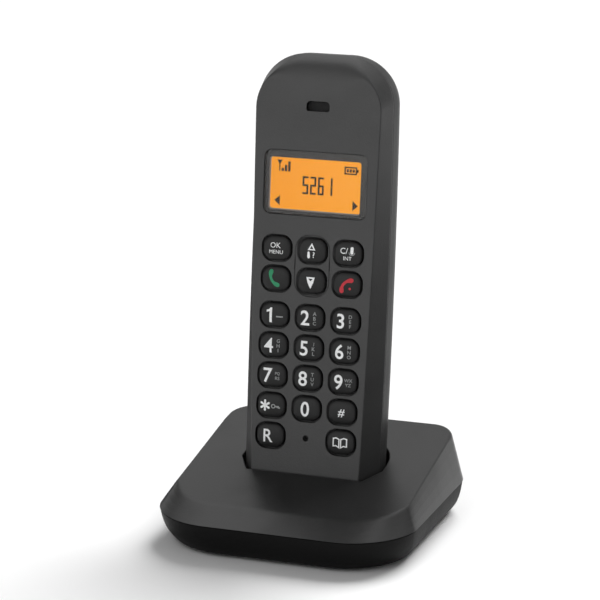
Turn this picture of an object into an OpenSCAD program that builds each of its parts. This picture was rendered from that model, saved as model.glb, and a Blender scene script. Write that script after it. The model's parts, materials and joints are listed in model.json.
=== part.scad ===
// Cordless telephone: a handset standing in its charging base.
// Base frame: +X to the right, +Y to the back, +Z up, origin under the middle of the base.
// Handset frame: X to the right, Y from the face into the body, Z from the foot to the top.

/* [Handset] */
// Length from foot to top
handset_l = 146; // [143:0.5:150]
// Width at the belly
handset_w = 46.6; // [46:0.2:47.4]
// Depth from face to back
handset_d = 24; // [24:0.1:25]
// Depth of the sloping facet beside the face
facet_d = 7.5; // [7:0.1:7.8]
// Width of the flat face at the foot
face_w_foot = 36; // [35:0.2:37]
// Width of the flat face at the shoulders
face_w_top = 41.8; // [41:0.2:42.4]
// Corner radius of the top, outside
top_r = 15.8; // [14:0.2:17]
// Drop from the top to the top edge of the flat face
face_drop = 3.4; // [3:0.1:4]
// Depth at which front and rear covers meet
split_d = 8; // [7.9:0.1:9]
// Wall thickness of the handset covers
wall = 1.8; // [1.6:0.1:2]

/* [Keypad] */
// Distance between key columns
key_dx = 12; // [11.6:0.1:12.4]
// Distance between key rows
key_dz = 9.85; // [9.7:0.05:10]
// Extra space between the menu rows and the digit rows
menu_gap = 1.9; // [1:0.1:2.2]
// Height of the lowest key row above the foot
first_row_z = 23.1; // [22.5:0.1:24]
// Key hole size
key_hole = [10, 8.5];
// Corner radius of the key hole
key_hole_r = 3.5; // [2.5:0.1:4]
// Gap round each key
key_gap = 0.3; // [0.2:0.05:0.4]
// How far the middle of a key stands out of the face
key_crown = 0.9; // [0.5:0.1:1.2]
// Radius of the key's domed top
key_dome_r = 16; // [14:1:30]

/* [Display] */
// Middle of the display above the foot
display_z = 105.2; // [104:0.1:106]
// Size of the clear window
window = [34.4, 20.4];
// Size of the visible picture
picture = [30.5, 16.5];
// Middle of the earpiece slot above the foot
ear_z = 129.9; // [129:0.1:130.5]
// Earpiece slot size
ear_slot = [7.3, 2.8];

/* [Base] */
// Width at the seam between the two shells
base_w = 86; // [84:0.5:90]
// Length at the seam
base_l = 81.2; // [80:0.2:84]
// Height of the seam above the table
seam_z = 10.7; // [10.5:0.1:11]
// Height of the sloping top at the middle of the base
top_z = 20.72; // [20.5:0.1:21]
// Rise of the top per millimetre to the back
top_slope = 0.2; // [0.19:0.01:0.21]
// Width of the sloping top
top_w = 78.2; // [77:0.2:79]
// Front edge of the sloping top
top_front = -30; // [-31:0.2:-29]
// Back edge of the sloping top
top_back = 36; // [35.6:0.2:36.4]
// Wall thickness of the base shells
base_wall = 2; // [1.8:0.1:2]

/* [Cradle] */
// Backward lean of the handset
lean = 6.24; // [6:0.02:6.5]
// Distance that the face of the handset goes into the base
seat = 11.5; // [11:0.1:11.8]
// Where the face of the handset meets the top of the base
face_y = -5.4; // [-6:0.1:-5]
// Gap between handset and cradle
cradle_gap = 0.5; // [0.4:0.05:0.6]

/* [Hardware] */
// Battery cell diameter
cell_dia = 10.5; // [10.3:0.1:10.5]
// Battery cell length
cell_l = 44.5; // [44:0.1:44.5]
// Housing screw shank radius
screw_r = 1.1; // [1:0.05:1.2]
// Rubber foot diameter
foot_dia = 8; // [6:0.5:9]

/* [Hidden] */
$fn = 48;
ROWS = 7;
KEYS = [
    ["key_menu", -1, 6], ["key_up", 0, 6], ["key_mute", 1, 6],
    ["key_talk", -1, 5], ["key_down", 0, 5], ["key_end", 1, 5],
    ["key_1", -1, 4], ["key_2", 0, 4], ["key_3", 1, 4],
    ["key_4", -1, 3], ["key_5", 0, 3], ["key_6", 1, 3],
    ["key_7", -1, 2], ["key_8", 0, 2], ["key_9", 1, 2],
    ["key_star", -1, 1], ["key_0", 0, 1], ["key_hash", 1, 1],
    ["key_recall", -1, 0], ["key_book", 1, 0]
];

// Handset outline
side_foot = handset_w / 2 - 0.5;
side_shoulder = handset_w / 2 - 0.7;
side_bulge = 0.6;
face_bulge = 0.3;
face_r = 14;
side_end = 11.5;
back_inset = 9;
foot_inset = 4;
foot_corner = 2;
ARC = [0:7.5:90];
BACK_STEPS = [0, 14, 28, 42, 55, 67, 79, 90];

// Layers of the handset, as distances behind the face
mat_y = 4;
board_y = 5;
board_t = 1;
key_flange_y = 1.9;
key_flange_t = 0.6;
glass_y = 0.35;
glass_t = 1;
panel_y = 2;
panel_t = 1.4;

// Battery bay
bay_w = 23.2;
bay_z = [38.5, 88];
bay_floor = 10.8;
door = [28.6, 62.6];
door_z = 65.5;
door_t = 1.5;
door_y = handset_d - door_t;
door_gap = 0.2;
cell_x = 5.5;
cell_y = bay_floor + 0.3 + cell_dia / 2;
cell_z = bay_z[0] + 2.8;

// Housing screws of the handset: [x, z]
HANDSET_SCREWS = [[-12, 9.5], [12, 9.5], [-11.5, 123.5], [11.5, 123.5]];
screw_head_r = 2.2;
screw_head_t = 1.6;
screw_seat = 16;
screw_tip = 4;
boss_r = 3.2;

// Charging contacts
contact_x = 8;
pad = [4, 0.6];
pad_y = [10, 15];

// Base
top_tilt = atan(top_slope);
face_z = top_z + top_slope * face_y;
foot_y = face_y - seat * sin(lean);
foot_z = face_z - seat * cos(lean);
front_y = -base_l / 2;
base_floor = 0.5;
floor_t = 1.8;
seat_floor = 0.4;
cradle_wall = 1.8;
board_z = 7.4;
base_board_t = 1.6;
board_top = board_z + base_board_t;
socket_x = 17;
socket = [13.4, 14.4, 11.4];
socket_face = 37.4;
plug = [9.7, 12, 6.7];
page_z = 18;
page_r = 4;
leaf_z = 2.6;
BASE_SCREWS = [[-25, -23], [25, -23], [-32.5, 10], [32.5, 10]];
FEET = [[-20, -30], [20, -30], [-31, 30], [31, 30]];

function row_z(row) = first_row_z + row * key_dz + (row > 4 ? menu_gap : 0);

// One outline of the handset: right side from the foot upwards, then the mirrored left side.
function outline(foot_half, shoulder_half, bulge, low, top, r, corner) =
    let (
        rise = top - r - low,
        right = concat(
            [[foot_half - corner, low]],
            [for (t = [0:0.25:1])
                [
                    foot_half + (shoulder_half - foot_half) * t + bulge * 4 * t * (1 - t),
                    t == 0 ? low + corner : low + rise * t
                ]],
            [for (a = ARC) if (a > 0) [shoulder_half - r + r * cos(a), top - r + r * sin(a)]]
        ),
        n = len(right)
    )
    concat(right, [for (i = [n - 1:-1:0]) [-right[i][0], right[i][1]]]);

// Turned round, so that a loft towards +Y has its faces outwards
function at_depth(y, points) = [for (i = [len(points) - 1:-1:0]) [points[i][0], y, points[i][1]]];

// Outline of the side wall, moved in by i, with the foot moved up by f
function side_ring(y, i, f) = at_depth(y, outline(
    side_foot - i, side_shoulder - i, side_bulge, f, handset_l - i, top_r - i * 0.9, foot_corner));

// Outline of the flat face, moved in by i
function face_ring(y, i, f) = at_depth(y, outline(
    face_w_foot / 2 - i, face_w_top / 2 - i, face_bulge, f,
    handset_l - face_drop - i, face_r - i, foot_corner));

function back_depth(a, depth) = side_end + (depth - side_end) * sin(a);
function back_in(a) = 1 - cos(a);

// Closed body through rings that all have the same number of points
module loft(rings) {
    n = len(rings[0]);
    last = (len(rings) - 1) * n;
    polyhedron(
        points = [for (ring = rings) for (p = ring) p],
        faces = concat(
            [[for (i = [0:n - 1]) i]],
            [for (k = [0:len(rings) - 2]) for (i = [0:n - 1])
                [k * n + i, (k + 1) * n + i, (k + 1) * n + (i + 1) % n]],
            [for (k = [0:len(rings) - 2]) for (i = [0:n - 1])
                [k * n + i, (k + 1) * n + (i + 1) % n, k * n + (i + 1) % n]],
            [[for (i = [n - 1:-1:0]) last + i]]
        )
    );
}

module in_cradle() translate([0, foot_y, foot_z]) rotate([-lean, 0, 0]) children();

// Sheet with its front at depth y, drawn in X and Z
module sheet(y, t) translate([0, y + t, 0]) rotate([90, 0, 0]) linear_extrude(t) children();

// Cylinder that runs from depth y into the body
module drum(r, y, t) translate([0, y, 0]) rotate([-90, 0, 0]) cylinder(r = r, h = t);

module round_rect(size, r) {
    square([size[0] - 2 * r, size[1]], center = true);
    square([size[0], size[1] - 2 * r], center = true);
    for (x = [-1, 1], y = [-1, 1])
        translate([x * (size[0] / 2 - r), y * (size[1] / 2 - r)]) circle(r);
}

module at_keys() for (k = KEYS) translate([k[1] * key_dx, 0, row_z(k[2])]) children();

module at_handset_screws() for (p = HANDSET_SCREWS) translate([p[0], 0, p[1]]) children();

// ---- Handset ----

module front_cover() color([0.29, 0.29, 0.29]) in_cradle() {
    difference() {
        union() {
            difference() {
                loft([face_ring(0, 0, 0), side_ring(facet_d, 0, 0), side_ring(split_d, 0, 0)]);
                loft([
                    face_ring(wall, wall * 0.8, wall),
                    side_ring(facet_d, wall, wall),
                    side_ring(split_d + 1, wall, wall)
                ]);
            }
            at_handset_screws() drum(boss_r, wall - 0.2, split_d - wall + 0.2);
        }
        at_keys() sheet(-1, wall + 2) round_rect(key_hole, key_hole_r);
        translate([0, 0, display_z]) {
            sheet(-1, glass_y + glass_t + 1) round_rect(window + [0.3, 0.3], 2.6);
            sheet(-1, wall + 2) round_rect(picture + [0.8, 0.8], 1.2);
        }
        translate([0, 0, ear_z]) sheet(-1, wall + 2) round_rect(ear_slot, 1.3);
        translate([0, 0, first_row_z]) drum(0.85, -1, wall + 2);
        at_handset_screws() drum(screw_r + 0.05, screw_tip - 0.5, split_d);
    }
}

module rear_cover() color([0.27, 0.27, 0.27]) in_cradle() {
    difference() {
        union() {
            difference() {
                loft(concat(
                    [side_ring(split_d, 0, 0)],
                    [for (a = BACK_STEPS)
                        side_ring(back_depth(a, handset_d), back_inset * back_in(a),
                            foot_inset * back_in(a))]
                ));
                loft(concat(
                    [side_ring(split_d - 1, wall, wall)],
                    [for (a = BACK_STEPS)
                        side_ring(back_depth(a, handset_d - wall), wall + back_inset * back_in(a),
                            wall + foot_inset * back_in(a))]
                ));
            }
            // Battery bay and the ledge round its door
            translate([-bay_w / 2 - 1.6, bay_floor - 1.6, bay_z[0] - 1.6])
                cube([bay_w + 3.2, door_y - bay_floor + 1.6, bay_z[1] - bay_z[0] + 3.2]);
            translate([0, 0, door_z])
                sheet(door_y - 1.4, 2.4) square([door[0] + 2.4, door[1] + 2.4], center = true);
            at_handset_screws() drum(boss_r, split_d, handset_d - wall + 0.2 - split_d);
        }
        translate([0, 0, door_z])
            sheet(door_y, door_t + 1) round_rect(door + 2 * [door_gap, door_gap], 3);
        translate([-bay_w / 2, bay_floor, bay_z[0]])
            cube([bay_w, handset_d, bay_z[1] - bay_z[0]]);
        at_handset_screws() {
            drum(screw_r + 0.15, split_d - 1, handset_d);
            drum(screw_head_r + 0.2, screw_seat, handset_d);
        }
        // Sound holes of the ringer
        translate([0, 0, 110]) {
            drum(0.9, 20, 6);
            for (a = [0:60:300]) rotate([0, a, 0]) translate([3.6, 0, 0]) drum(0.9, 20, 6);
        }
        // Openings for the charging pads
        for (x = [-1, 1]) translate([x * contact_x, (pad_y[0] + pad_y[1]) / 2, wall / 2])
            cube([pad[0] + 0.1, pad_y[1] - pad_y[0] + 0.1, wall + 2], center = true);
    }
}

module battery_door() color([0.27, 0.27, 0.27]) in_cradle() translate([0, 0, door_z]) {
    difference() {
        sheet(door_y, door_t) round_rect(door, 2.8);
        // Thumb grip grooves
        for (z = [-24:2:-16]) translate([0, handset_d, z]) cube([12, 0.8, 0.9], center = true);
    }
    // Ribs that stand just inside the end of the battery bay
    for (x = [-7, 7]) translate([x - 1.5, door_y - 1.2, bay_z[1] - door_z - 1.3])
        cube([3, 1.3, 1]);
}

module display_window() color([0.2, 0.2, 0.2, 0.6]) in_cradle()
    translate([0, 0, display_z]) sheet(glass_y, glass_t) round_rect(window, 2.45);

module display_panel() color([0.95, 0.6, 0.2]) in_cradle()
    translate([0, 0, display_z]) sheet(panel_y, panel_t) square([35, 21.5], center = true);

module display_backlight() color([0.9, 0.9, 0.85]) in_cradle() translate([0, 0, display_z])
    difference() {
        sheet(panel_y, board_y - panel_y) square([37.4, 24], center = true);
        sheet(panel_y - 1, panel_t + 1) square([35.2, 21.7], center = true);
    }

module keypad_mat() color([0.35, 0.35, 0.36]) in_cradle() difference() {
    union() {
        sheet(mat_y, board_y - mat_y) translate([-18.2, 17.6])
            square([36.4, row_z(ROWS - 1) - 12.6]);
        at_keys() translate([0, mat_y - 0.6, 0]) rotate([-90, 0, 0])
            cylinder(r1 = 2, r2 = 3.4, h = 0.7);
    }
    translate([0, 0, first_row_z]) drum(2.6, mat_y - 1, 3);
}

module handset_board() color([0.1, 0.35, 0.2]) in_cradle() {
    difference() {
        sheet(board_y, board_t) translate([-18.2, 15.5]) square([36.4, 102.5]);
        for (x = [-1, 1]) translate([x * 15, 0, 70]) drum(1.2, board_y - 1, 3);
    }
    // Processor and memory
    translate([-4, board_y + board_t, 30]) cube([8, 1.2, 8]);
    translate([6, board_y + board_t, 60]) cube([7, 1, 5]);
}

module handset_radio_shield() color([0.75, 0.75, 0.77]) in_cradle() difference() {
    translate([-11, board_y + board_t, 94]) cube([22, 2, 16]);
    translate([-10.7, board_y + board_t - 1, 94.3]) cube([21.4, 2.7, 15.4]);
}

module handset_antenna() color([0.85, 0.7, 0.35]) in_cradle() {
    translate([-16, board_y + board_t, 115.6]) cube([32, 0.4, 2]);
    for (x = [-16, 14]) translate([x, board_y + board_t, 112]) cube([2, 0.4, 3.6]);
}

module earpiece() color([0.15, 0.15, 0.15]) in_cradle() translate([0, 0, ear_z - 1]) {
    drum(7.5, 2.5, 3.2);
    drum(5, 5.7, 1.4);
}

module earpiece_mesh() color([0.08, 0.08, 0.08]) in_cradle()
    translate([0, 0, ear_z]) sheet(wall, 0.4) round_rect([11, 6], 2);

module microphone() color([0.6, 0.6, 0.62]) in_cradle()
    translate([0, 0, first_row_z]) drum(2.2, 2.6, board_y - 2.6);

module ringer() color([0.2, 0.2, 0.2]) in_cradle() translate([0, 0, 110]) {
    drum(9, 20, 2);
    drum(6, 17.4, 2.6);
}

module battery_cell(side) color([0.3, 0.55, 0.35]) in_cradle()
    translate([side * cell_x, cell_y, cell_z]) {
        cylinder(r = cell_dia / 2, h = cell_l - 1);
        translate([0, 0, cell_l - 1]) cylinder(r = 1.9, h = 1);
    }

module battery_cell_left() battery_cell(-1);
module battery_cell_right() battery_cell(1);

// Conical contact springs under the cells
module battery_springs() color([0.8, 0.8, 0.82]) in_cradle() for (x = [-1, 1])
    translate([x * cell_x, cell_y, bay_z[0]]) {
        translate([-4, -4, 0]) cube([8, 8, 0.3]);
        for (i = [0:3]) translate([0, 0, 0.6 + i * 0.58])
            rotate_extrude() translate([3.4 - i * 0.5, 0]) circle(0.4, $fn = 16);
    }

module battery_plates() color([0.8, 0.8, 0.82]) in_cradle() for (x = [-1, 1])
    translate([x * cell_x - 4, cell_y - 4, bay_z[1] - 0.4]) cube([8, 8, 0.4]);

module handset_charge_pads() color([0.85, 0.75, 0.45]) in_cradle() for (x = [-1, 1])
    translate([x * contact_x - pad[0] / 2, pad_y[0], 0]) {
        cube([pad[0], pad_y[1] - pad_y[0], pad[1]]);
        translate([0, 0, pad[1]]) cube([pad[0], 0.4, 6]);
    }

module handset_screws() color([0.6, 0.6, 0.62]) in_cradle() at_handset_screws() {
    drum(screw_r, screw_tip, screw_seat - screw_tip);
    difference() {
        drum(screw_head_r, screw_seat, screw_head_t);
        translate([0, screw_seat + screw_head_t, 0]) {
            cube([2.4, 1.6, 0.6], center = true);
            cube([0.6, 1.6, 2.4], center = true);
        }
    }
}

// One key: a domed cap and the flange that holds it behind the face
module key_cap(column, row) color([0.16, 0.16, 0.16]) in_cradle()
    translate([column * key_dx, 0, row_z(row)]) {
        intersection() {
            sheet(-key_crown, key_crown + key_flange_y)
                round_rect(key_hole - 2 * [key_gap, key_gap], key_hole_r - key_gap);
            translate([0, key_dome_r - key_crown, 0]) sphere(key_dome_r, $fn = 96);
        }
        sheet(key_flange_y + 0.1, key_flange_t - 0.1) round_rect(key_hole + [0.7, 0.5], key_hole_r);
        drum(2.4, key_flange_y - 0.2, 0.4);
    }

// ---- Base ----

// Plan outline of the base: right side from the front, then the mirrored left side
function plan(half, front, back, r_front, turn, r_back) =
    let (
        right = concat(
            [for (a = [-90:(90 - turn) / 10:-turn + 0.1])
                [half - r_front * cos(turn) + r_front * cos(a), front + r_front + r_front * sin(a)]],
            [for (a = [0:15:90]) [half - r_back + r_back * cos(a), back - r_back + r_back * sin(a)]]
        ),
        n = len(right)
    )
    concat(right, [for (i = [n - 1:-1:0]) [-right[i][0], right[i][1]]]);

function level(z, points) = [for (p = points) [p[0], p[1], z]];
function on_top(drop, points) = [for (p = points) [p[0], p[1], top_z - drop + top_slope * p[1]]];

function seam_plan(i) = plan(base_w / 2 - i, front_y + i, -front_y - i, 22 - i, 8, 12 - i);
// The corners of the bottom shell grow rounder downwards, by e
function lower_plan(i, e) = plan(base_w / 2 - i, front_y + i, -front_y - i, 22 + e - i, 8, 12 - i);
function top_plan(i) = plan(top_w / 2 - i, top_front + i, top_back - i, 18.5 - i, 19, 8 - i);

// Section of the handset at the cradle, grown by c, as [x, depth]
function cradle_section(c) =
    let (
        right = concat(
            [[face_w_foot / 2 + 0.5 + c, -c], [side_foot + 0.4 + c, facet_d]],
            [for (a = [0:10:90]) [
                side_foot + 0.4 - back_inset + (back_inset + c) * cos(a),
                side_end + (handset_d - side_end + c) * sin(a)
            ]]
        ),
        n = len(right)
    )
    concat(right, [for (i = [n - 1:-1:0]) [-right[i][0], right[i][1]]]);

module cradle_prism(c, low, high) in_cradle() translate([0, 0, low])
    linear_extrude(high - low) polygon(cradle_section(c));

module at_base_screws() for (p = BASE_SCREWS) translate([p[0], p[1], 0]) children();

module base_top_shell() color([0.3, 0.3, 0.3]) difference() {
    union() {
        difference() {
            loft([level(seam_z, seam_plan(0)), on_top(0, top_plan(0))]);
            loft([
                level(seam_z - 1, seam_plan(base_wall)),
                level(seam_z, seam_plan(base_wall)),
                on_top(base_wall, top_plan(base_wall))
            ]);
        }
        difference() {
            union() {
                cradle_prism(cradle_gap + cradle_wall, -seat_floor - cradle_wall, 40);
                at_base_screws() translate([0, 0, 4]) cylinder(r = boss_r, h = 30);
            }
            translate([0, 0, top_z - base_wall / 2]) rotate([top_tilt, 0, 0])
                translate([-60, -60, 0]) cube([120, 120, 60]);
        }
    }
    cradle_prism(cradle_gap, -seat_floor, 60);
    at_base_screws() cylinder(r = screw_r + 0.05, h = 12);
    // Slots for the charging springs
    in_cradle() for (x = [-1, 1]) translate([x * contact_x, 12.5, -seat_floor - cradle_wall / 2])
        cube([3, 7, cradle_wall + 2], center = true);
    // Openings for the sockets and the page key
    for (x = [-1, 1]) translate([x * socket_x - socket[0] / 2 - 0.2, 25, seam_z - 1])
        cube([socket[0] + 0.4, 20, board_top + socket[2] + 1.2 - seam_z]);
    translate([0, 0, page_z]) drum(page_r + 0.3, 30, 20);
}

module base_bottom_shell() color([0.1, 0.1, 0.1]) difference() {
    union() {
        difference() {
            loft([
                level(base_floor, lower_plan(4.9, 3)),
                level(base_floor + 0.5, lower_plan(3.4, 2.9)),
                level(base_floor + 1.5, lower_plan(2.3, 2.6)),
                level(base_floor + 3.2, lower_plan(1.3, 2)),
                level(base_floor + 5.6, lower_plan(0.6, 1.4)),
                level(seam_z, lower_plan(0.3, 0))
            ]);
            loft([
                level(base_floor + floor_t, lower_plan(5.6, 2.5)),
                level(base_floor + floor_t + 2, lower_plan(3.2, 2)),
                level(seam_z + 1, lower_plan(base_wall + 0.3, 0))
            ]);
        }
        at_base_screws() translate([0, 0, base_floor + 0.2]) cylinder(r = boss_r + 1, h = 3.3);
        // Posts under the board
        for (x = [-1, 1], y = [-8, 31]) translate([x * 35, y, base_floor + 1])
            cylinder(r = 1.5, h = board_z - base_floor - 1);
    }
    at_base_screws() {
        translate([0, 0, -1]) cylinder(r = screw_r + 0.15, h = 8);
        translate([0, 0, -1]) cylinder(r = screw_head_r + 0.3, h = 3.2);
    }
    for (p = FEET) translate([p[0], p[1], -1]) cylinder(r = foot_dia / 2 + 0.1, h = base_floor + 1.6);
    // Notches that clear the sockets
    for (x = [-1, 1]) translate([x * socket_x - socket[0] / 2 - 0.2, 25, board_z])
        cube([socket[0] + 0.4, 20, 10]);
}

module base_board() color([0.1, 0.35, 0.2]) {
    difference() {
        translate([0, 0, board_z]) linear_extrude(base_board_t)
            polygon([[-38, -15], [38, -15], [38, 31], [33, 36.5], [-33, 36.5], [-38, 31]]);
        translate([-27.5, -20, board_z - 1]) cube([55, 43, 4]);
        at_base_screws() translate([0, 0, board_z - 1]) cylinder(r = boss_r + 0.4, h = 4);
    }
    // Capacitor and converter coil
    translate([-33, 26, board_top]) cylinder(r = 3, h = 7);
    translate([33, 26, board_top]) cylinder(r = 3.5, h = 5);
}

module base_radio_shield() color([0.75, 0.75, 0.77]) difference() {
    translate([28, -11, board_top]) cube([9, 15, 2.2]);
    translate([28.3, -10.7, board_top - 1]) cube([8.4, 14.4, 2.9]);
}

module base_antenna() color([0.85, 0.7, 0.35]) {
    translate([-36, -10, board_top]) cube([0.5, 14, 5]);
    translate([-36, -10, board_top + 4.5]) cube([5, 14, 0.5]);
}

// Modular socket, its mouth facing the back
module modular_socket(side) color([0.12, 0.12, 0.12])
    translate([side * socket_x, socket_face, board_top]) difference() {
        translate([-socket[0] / 2, -socket[1], 0]) cube(socket);
        translate([-plug[0] / 2, -plug[1], 2.6]) cube([plug[0], plug[1] + 1, plug[2]]);
        translate([-2.1, -8, 1]) cube([4.2, 9, 2]);
        translate([-3.2, -9, 1]) cube([6.4, 4, 2]);
    }

// Bent contact wires at the back of the socket's mouth
module socket_pins(side, count) color([0.9, 0.75, 0.35])
    translate([side * socket_x, socket_face - plug[1], board_top]) for (i = [0:count - 1])
        translate([(i - (count - 1) / 2) * 1.27 - 0.2, 0, 0]) {
            translate([0, 0.2, 5.4]) cube([0.4, 3, 0.4]);
            translate([0, 0.2, 5.4]) cube([0.4, 0.4, 3.7]);
        }

module line_socket() modular_socket(-1);
module line_socket_pins() socket_pins(-1, 4);
module power_socket() modular_socket(1);
module power_socket_pins() socket_pins(1, 2);

// Leaf springs that rise through the cradle floor, and their tails to the board
module charge_springs() color([0.85, 0.75, 0.45]) for (x = [-1, 1]) {
    in_cradle() translate([x * contact_x - 1, 0, 0]) {
        translate([0, 10.2, -0.35]) cube([2, 4, 0.3]);
        translate([0, 10.2, -4.5]) cube([2, 0.3, 4.2]);
        translate([0, 13.9, -1.2]) cube([2, 0.3, 0.9]);
    }
    translate([x * contact_x - 1, 2.9, leaf_z]) cube([2, 20.9, 0.3]);
    translate([x * contact_x - 1, 23.4, leaf_z]) cube([2, 0.4, board_z - leaf_z]);
}

module page_key() color([0.2, 0.2, 0.2]) translate([0, 0, page_z]) {
    drum(page_r, 33.5, 6);
    drum(page_r + 1, 33, 1);
}

module page_switch() color([0.5, 0.5, 0.52]) {
    translate([-3, 27, board_top]) cube([6, 3.6, 12]);
    translate([0, 0, page_z]) drum(1.6, 30.6, 1.3);
}

module rubber_feet() color([0.08, 0.08, 0.08]) for (p = FEET)
    translate([p[0], p[1], 0]) cylinder(r = foot_dia / 2, h = base_floor + 0.6);

module base_screws() color([0.6, 0.6, 0.62]) at_base_screws() {
    translate([0, 0, 0.6]) difference() {
        cylinder(r = screw_head_r, h = screw_head_t);
        translate([0, 0, 0]) cube([2.4, 0.6, 1.6], center = true);
        translate([0, 0, 0]) cube([0.6, 2.4, 1.6], center = true);
    }
    translate([0, 0, 2.2]) cylinder(r = screw_r, h = 8.8);
}

front_cover();
rear_cover();
battery_door();
display_window();
display_panel();
display_backlight();
keypad_mat();
handset_board();
handset_radio_shield();
handset_antenna();
earpiece();
earpiece_mesh();
microphone();
ringer();
battery_cell_left();
battery_cell_right();
battery_springs();
battery_plates();
handset_charge_pads();
handset_screws();
base_top_shell();
base_bottom_shell();
base_board();
base_radio_shield();
base_antenna();
line_socket();
line_socket_pins();
power_socket();
power_socket_pins();
charge_springs();
page_key();
page_switch();
rubber_feet();
base_screws();
for (k = KEYS) key_cap(k[1], k[2]);
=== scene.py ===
"""Looks of a cordless telephone: a handset that stands in its charging base."""

import json
import math

import bmesh
import bpy
from mathutils import Matrix, Vector

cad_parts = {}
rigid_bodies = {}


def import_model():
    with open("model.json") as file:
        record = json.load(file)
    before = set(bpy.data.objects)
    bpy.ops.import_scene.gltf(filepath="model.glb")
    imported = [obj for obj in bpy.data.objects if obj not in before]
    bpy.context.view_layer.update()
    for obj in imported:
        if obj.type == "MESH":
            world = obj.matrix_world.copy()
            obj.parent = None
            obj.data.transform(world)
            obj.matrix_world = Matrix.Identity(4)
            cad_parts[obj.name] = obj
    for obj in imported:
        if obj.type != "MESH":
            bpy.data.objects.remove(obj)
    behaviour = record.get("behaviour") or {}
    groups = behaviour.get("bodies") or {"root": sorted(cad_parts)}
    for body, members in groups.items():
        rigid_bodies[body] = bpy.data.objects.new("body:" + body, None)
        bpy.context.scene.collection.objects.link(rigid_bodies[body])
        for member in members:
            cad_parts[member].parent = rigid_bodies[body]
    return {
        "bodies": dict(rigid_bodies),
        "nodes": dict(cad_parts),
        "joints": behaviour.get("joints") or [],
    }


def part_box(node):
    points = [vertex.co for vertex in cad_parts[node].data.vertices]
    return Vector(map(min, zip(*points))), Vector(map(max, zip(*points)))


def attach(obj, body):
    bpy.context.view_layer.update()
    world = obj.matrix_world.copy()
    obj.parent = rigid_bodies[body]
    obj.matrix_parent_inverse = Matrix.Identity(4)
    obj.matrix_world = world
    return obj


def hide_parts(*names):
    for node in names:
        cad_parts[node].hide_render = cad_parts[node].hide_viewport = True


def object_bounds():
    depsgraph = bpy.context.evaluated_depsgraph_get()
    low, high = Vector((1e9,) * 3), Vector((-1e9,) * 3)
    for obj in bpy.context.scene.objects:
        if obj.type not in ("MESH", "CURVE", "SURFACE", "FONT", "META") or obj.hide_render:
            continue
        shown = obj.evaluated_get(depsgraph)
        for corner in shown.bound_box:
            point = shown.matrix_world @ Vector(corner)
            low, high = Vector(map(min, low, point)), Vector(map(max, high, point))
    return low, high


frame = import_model()
CAD_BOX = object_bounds()

bl_info = {
    "name": "Cordless telephone",
    "version": (1, 0, 0),
    "blender": (4, 5, 0),
    "location": "3D View > Sidebar > Telephone",
    "description": "Builds a cordless telephone and its charging base",
    "category": "Object",
}

MM = 0.001
TO_METRES = Matrix.Scale(MM, 4)


# ---- Places ----

class Standing:
    """The handset's frame in millimetres: x right, y from the face inwards, z from foot to top."""

    def __init__(self):
        axes = {joint["name"]: Vector(joint["axis"]) for joint in frame["joints"]}
        self.up = axes["handset_lift"].normalized()
        self.into = axes["key_5_press"].normalized()
        cover = [v.co for v in frame["nodes"]["front_cover"].data.vertices]
        origin = (
            self.into * min(p.dot(self.into) for p in cover)
            + self.up * min(p.dot(self.up) for p in cover)
        )
        turned = Matrix((self.into.cross(self.up), self.into, self.up)).transposed()
        self.matrix = Matrix.Translation(origin) @ turned.to_4x4() @ TO_METRES
        self.foot = origin / MM

    def base_point(self, x, y, z):
        """A point of the handset's frame in the base's millimetres."""
        return self.foot + Vector((x, 0, 0)) + self.into * y + self.up * z

    def middle(self, node):
        """Middle of a CAD node in the handset's frame, in millimetres."""
        low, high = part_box(node)
        return self.matrix.inverted() @ ((low + high) / 2)


STAND = Standing()
KEY_BODIES = [name for name in frame["bodies"] if name.startswith("key_")]
BOX = {name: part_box(name) for name in frame["nodes"]}


def node_size(node, axis):
    """Size of a CAD node along X, Y or Z, in millimetres."""
    low, high = BOX[node]
    return (high - low)[axis] / MM


# ---- Settings ----

def length(name, description, millimetres):
    """A size that a user may change."""
    return bpy.props.FloatProperty(
        name=name, description=description, default=millimetres * MM,
        min=0, unit="LENGTH", precision=5)


def paint(name, description, colour):
    """A colour that a user may change."""
    return bpy.props.FloatVectorProperty(
        name=name, description=description, default=(*colour, 1), size=4,
        min=0, max=1, subtype="COLOR")


class TelephoneHandsetSettings(bpy.types.PropertyGroup):
    width: length("Width", "Width of the handset at its belly", node_size("front_cover", 0))
    face_foot: length("Face at the foot", "Width of the flat face at the foot", 36)
    face_top: length("Face at the top", "Width of the flat face at the shoulders", 41.8)
    crease: length("Edge of the face", "Softness of the edge round the flat face", 0.45)
    top_crease: length("Brow", "Softness of the same edge at the middle of the top", 9)
    key_crown: length("Key crown", "How far the middle of a key stands out", 1.05)
    rim: length("Rim", "Rounding of the rims of the key holes", 0.28)


class TelephoneBaseSettings(bpy.types.PropertyGroup):
    width: length("Width", "Width of the base at its seam", node_size("base_top_shell", 0))
    depth: length("Depth", "Depth of the base at its seam", node_size("base_top_shell", 1))
    front_crease: length("Front edge", "Softness of the front edge of the top", 1.2)
    side_crease: length("Side edge", "Softness of the side edges of the top", 0.5)
    mouth: length("Cradle rim", "Rounding of the rim of the cradle", 0.5)


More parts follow.
